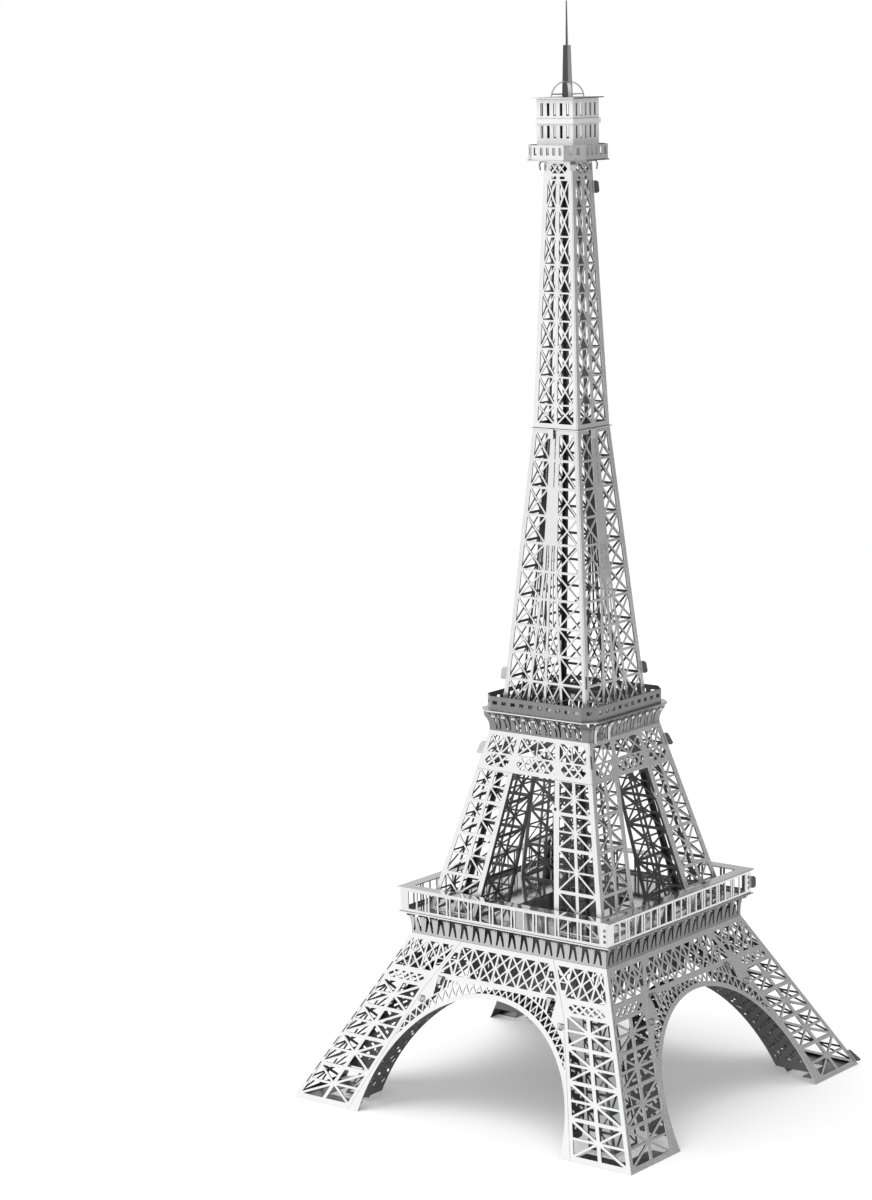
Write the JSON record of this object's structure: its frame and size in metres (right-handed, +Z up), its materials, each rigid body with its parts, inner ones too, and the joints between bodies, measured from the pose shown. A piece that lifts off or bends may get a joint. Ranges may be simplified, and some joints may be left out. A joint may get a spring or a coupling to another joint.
{
  "type": "miniature lattice tower",
  "caption": "Desk souvenir of a four-legged lattice tower, folded and tabbed together from thin polished steel sheet.",
  "frame": {"origin": "middle of the square footprint on the ground", "axes": "+Z up the tower to the spire, front face looks along -Y, right face along +X"},
  "size_m": [0.1098, 0.1092, 0.2854],
  "materials": {
    "lattice_sheet": "bright satin stamped stainless sheet",
    "inner_sheet": "satin stamped stainless sheet",
    "floor_sheet": "satin stamped stainless sheet",
    "mast_steel": "satin stainless sheet"
  },
  "bodies": {
    "root": {"arch_panel_back": "lattice_sheet", "arch_panel_front": "lattice_sheet", "arch_panel_left": "lattice_sheet", "arch_panel_right": "lattice_sheet", "arch_soffit_back": "inner_sheet", "arch_soffit_front": "inner_sheet", "arch_soffit_left": "inner_sheet", "arch_soffit_right": "inner_sheet", "cabin": "lattice_sheet", "cabin_band": "lattice_sheet", "cabin_roof": "lattice_sheet", "cornice": "floor_sheet", "first_ceiling": "inner_sheet", "first_cove_back": "floor_sheet", "first_cove_front": "floor_sheet", "first_cove_left": "floor_sheet", "first_cove_right": "floor_sheet", "first_deck": "floor_sheet", "foot_plate_back_left": "inner_sheet", "foot_plate_back_right": "inner_sheet", "foot_plate_front_left": "inner_sheet", "foot_plate_front_right": "inner_sheet", "fourth_side_back": "lattice_sheet", "fourth_side_front": "lattice_sheet", "fourth_side_left": "lattice_sheet", "fourth_side_right": "lattice_sheet", "gallery_roof": "floor_sheet", "gallery_wall_back": "floor_sheet", "gallery_wall_front": "floor_sheet", "gallery_wall_left": "floor_sheet", "gallery_wall_right": "floor_sheet", "inner_girder": "inner_sheet", "joint_plate": "floor_sheet", "leg_shell_back_left": "lattice_sheet", "leg_shell_back_right": "lattice_sheet", "leg_shell_front_left": "lattice_sheet", "leg_shell_front_right": "lattice_sheet", "mast": "mast_steel", "second_deck": "floor_sheet", "second_rail": "floor_sheet", "third_side_back": "lattice_sheet", "third_side_front": "lattice_sheet", "third_side_left": "lattice_sheet", "third_side_right": "lattice_sheet", "top_deck": "floor_sheet", "top_rail": "floor_sheet", "twist_tabs": "mast_steel", "upper_girder_back": "lattice_sheet", "upper_girder_front": "lattice_sheet", "upper_girder_left": "lattice_sheet", "upper_girder_right": "lattice_sheet", "upper_leg_inner_back_left": "inner_sheet", "upper_leg_inner_back_right": "inner_sheet", "upper_leg_inner_front_left": "inner_sheet", "upper_leg_inner_front_right": "inner_sheet", "upper_leg_shell_back_left": "lattice_sheet", "upper_leg_shell_back_right": "lattice_sheet", "upper_leg_shell_front_left": "lattice_sheet", "upper_leg_shell_front_right": "lattice_sheet"}
  },
  "joints": []
}
